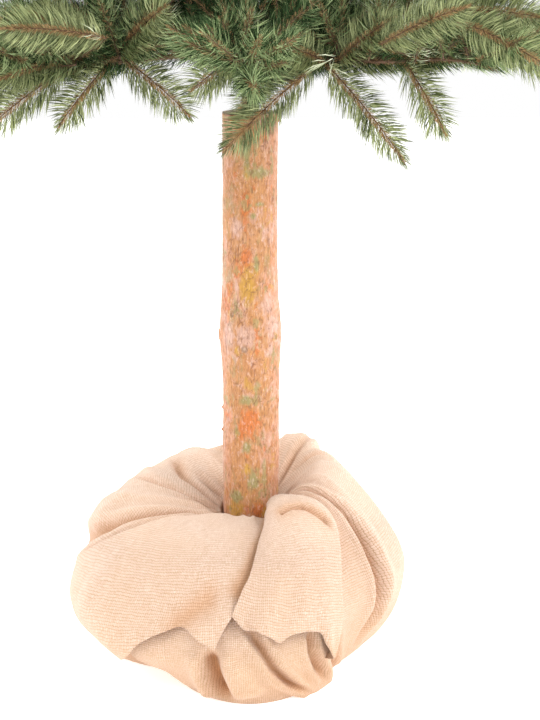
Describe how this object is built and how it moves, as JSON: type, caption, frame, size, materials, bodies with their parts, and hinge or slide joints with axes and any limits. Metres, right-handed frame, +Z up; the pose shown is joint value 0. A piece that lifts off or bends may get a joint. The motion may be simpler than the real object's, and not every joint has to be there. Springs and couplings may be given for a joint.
{
  "type": "artificial christmas tree on a log",
  "caption": "Artificial fir tree for indoor use: a steel pole with hooked-on needle branches in tiers on a bare pine log, set in a bucket wrapped in burlap.",
  "frame": {"origin": "middle of the flat underside of the burlap wrap, on the log's axis", "axes": "+Z up along the log and pole, -Y towards the viewer of the picture, +X to the viewer's right"},
  "size_m": [1.2087, 1.1835, 2.2],
  "materials": {
    "bark": "rough flaking pine bark",
    "burlap": "coarse open weave",
    "needles": "satin plastic foil",
    "wire": "wire wrapped in brown foil",
    "steel": "green paint, satin",
    "plastic": "matte",
    "concrete": "rough cast"
  },
  "bodies": {
    "root": {"log": "bark", "bucket": "plastic", "bucket_filling": "concrete", "burlap_wrap": "burlap", "pole": "steel", "collar_1": "steel", "bough_1_1": "wire", "needles_1_1": "needles", "bough_1_2": "wire", "needles_1_2": "needles", "bough_1_3": "wire", "needles_1_3": "needles", "bough_1_4": "wire", "needles_1_4": "needles", "bough_1_5": "wire", "needles_1_5": "needles", "bough_1_6": "wire", "needles_1_6": "needles", "bough_1_7": "wire", "needles_1_7": "needles", "collar_2": "steel", "bough_2_1": "wire", "needles_2_1": "needles", "bough_2_2": "wire", "needles_2_2": "needles", "bough_2_3": "wire", "needles_2_3": "needles", "bough_2_4": "wire", "needles_2_4": "needles", "bough_2_5": "wire", "needles_2_5": "needles", "bough_2_6": "wire", "needles_2_6": "needles", "collar_3": "steel", "bough_3_1": "wire", "needles_3_1": "needles", "bough_3_2": "wire", "needles_3_2": "needles", "bough_3_3": "wire", "needles_3_3": "needles", "bough_3_4": "wire", "needles_3_4": "needles", "bough_3_5": "wire", "needles_3_5": "needles", "collar_4": "steel", "bough_4_1": "wire", "needles_4_1": "needles", "bough_4_2": "wire", "needles_4_2": "needles", "bough_4_3": "wire", "needles_4_3": "needles", "bough_4_4": "wire", "needles_4_4": "needles", "needles_5_1": "needles", "needles_5_2": "needles", "needles_5_3": "needles", "needles_5_4": "needles", "needles_top": "needles"}
  },
  "joints": []
}
